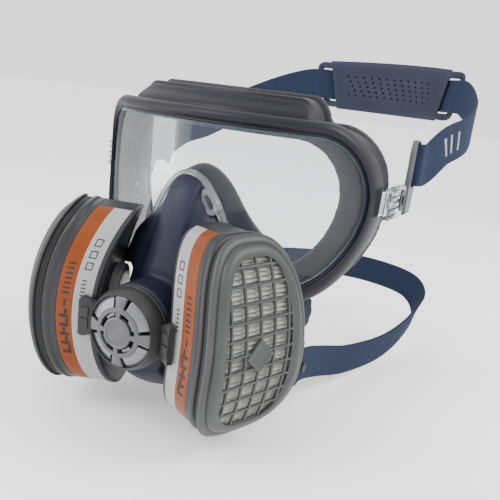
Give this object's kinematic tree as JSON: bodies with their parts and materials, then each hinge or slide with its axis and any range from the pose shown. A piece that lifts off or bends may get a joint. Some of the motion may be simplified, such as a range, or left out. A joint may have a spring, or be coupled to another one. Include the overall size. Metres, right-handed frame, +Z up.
{
  "type": "full-vision half-mask respirator",
  "caption": "Half-mask respirator with built-in clear goggles, clip-on side filters, front exhalation valve and an elastic head and neck harness.",
  "frame": {"origin": "middle of the face seal, on the forehead-to-chin contact surface, held by the wearer's head", "axes": "+X across the mask to the right seen from the front, +Y back through the wearer's head, +Z up"},
  "size_m": [0.214, 0.3257, 0.2106],
  "materials": {
    "facepiece_rubber": "soft satin navy",
    "goggle_rubber": "soft satin plum grey",
    "bezel_plastic": "satin plum grey",
    "seal_rubber": "soft matt plum grey",
    "lens_clear": "clear hard-coated polycarbonate",
    "clear_plastic": "clear moulded plastic",
    "grey_plastic": "satin dark grey",
    "casing_plastic": "satin mid grey",
    "label_print": "printed white and orange film",
    "gasket_black": "matt black",
    "pleat_media": "pale pleated fibre",
    "carbon_granules": "matt black granules",
    "silicone_flap": "translucent silicone",
    "buckle_plastic": "satin light grey",
    "pivot_plastic": "satin dark grey",
    "webbing_navy": "woven elastic webbing",
    "pad_silicone": "matt perforated silicone"
  },
  "bodies": {
    "mask": {"facepiece": "facepiece_rubber", "goggle_body": "goggle_rubber", "lens_bezel": "bezel_plastic", "face_seal": "seal_rubber", "lens": "lens_clear", "lens_nose_rim": "clear_plastic", "exhalation_seat": "grey_plastic", "filter_yoke": "grey_plastic", "inhalation_seat_left": "grey_plastic", "inhalation_seat_right": "grey_plastic", "strap_bracket_left": "clear_plastic", "strap_bracket_right": "clear_plastic", "neck_strap_anchor_left": "grey_plastic", "neck_strap_anchor_right": "grey_plastic"},
    "valve_cover": {"exhalation_cover": "grey_plastic"},
    "exhalation_flap": {"exhalation_membrane": "silicone_flap"},
    "upper_harness": {"upper_strap": "webbing_navy", "strap_buckle_left": "buckle_plastic", "strap_buckle_right": "buckle_plastic", "bracket_pivot_left": "pivot_plastic", "bracket_pivot_right": "pivot_plastic"},
    "head_pad": {"head_pad": "pad_silicone"},
    "neck_harness": {"neck_strap": "webbing_navy"},
    "filter_right": {"filter_casing_right": "casing_plastic", "filter_label_right": "label_print", "carbon_bed_right": "carbon_granules", "pleated_filter_right": "pleat_media", "filter_gasket_right": "gasket_black", "filter_cover_right": "grey_plastic"},
    "inhalation_flap_right": {"inhalation_membrane_right": "silicone_flap"},
    "tab_right": {"retaining_tab_right": "grey_plastic"},
    "filter_left": {"filter_casing_left": "casing_plastic", "filter_label_left": "label_print", "carbon_bed_left": "carbon_granules", "pleated_filter_left": "pleat_media", "filter_gasket_left": "gasket_black", "filter_cover_left": "grey_plastic"},
    "inhalation_flap_left": {"inhalation_membrane_left": "silicone_flap"},
    "tab_left": {"retaining_tab_left": "grey_plastic"}
  },
  "joints": [
    {"name": "valve_cover_pull", "type": "slide", "parent": "mask", "child": "valve_cover", "axis": [0, -1, 0], "range_m": [0, 0.015]},
    {"name": "exhalation_flap_lift", "type": "slide", "parent": "mask", "child": "exhalation_flap", "axis": [0, -1, 0], "range_m": [0, 0.0015], "stiffness_N_per_m": 8},
    {"name": "filter_right_pull", "type": "slide", "parent": "mask", "child": "filter_right", "axis": [0.9096, -0.4145, 0.0279], "range_m": [0, 0.03]},
    {"name": "inhalation_flap_right_lift", "type": "slide", "parent": "mask", "child": "inhalation_flap_right", "axis": [-0.9096, 0.4145, -0.0279], "range_m": [0, 0.0015], "stiffness_N_per_m": 8},
    {"name": "tab_right_flex", "type": "hinge", "parent": "mask", "child": "tab_right", "pos_m": [0.02015, -0.0954, -0.0514], "axis": [0, 0, -1], "range_deg": [0, 8], "stiffness_Nm_per_rad": 0.3},
    {"name": "filter_left_pull", "type": "slide", "parent": "mask", "child": "filter_left", "axis": [-0.9096, -0.4145, 0.0279], "range_m": [0, 0.03]},
    {"name": "inhalation_flap_left_lift", "type": "slide", "parent": "mask", "child": "inhalation_flap_left", "axis": [0.9096, 0.4145, -0.0279], "range_m": [0, 0.0015], "stiffness_N_per_m": 8},
    {"name": "tab_left_flex", "type": "hinge", "parent": "mask", "child": "tab_left", "pos_m": [-0.02015, -0.0954, -0.0514], "axis": [0, 0, 1], "range_deg": [0, 8], "stiffness_Nm_per_rad": 0.3},
    {"name": "upper_harness_swivel", "type": "hinge", "parent": "mask", "child": "upper_harness", "pos_m": [0, 0.0196, 0.019], "axis": [1, 0, 0], "range_deg": [-12, 15]},
    {"name": "head_pad_slide", "type": "hinge", "parent": "upper_harness", "child": "head_pad", "pos_m": [0.0097, 0.109, 0.084], "axis": [0, 0, 1], "range_deg": [-4, 4]},
    {"name": "neck_strap_swing", "type": "hinge", "parent": "mask", "child": "neck_harness", "pos_m": [0, -0.021, -0.08], "axis": [1, 0, 0], "range_deg": [-10, 12]}
  ]
}
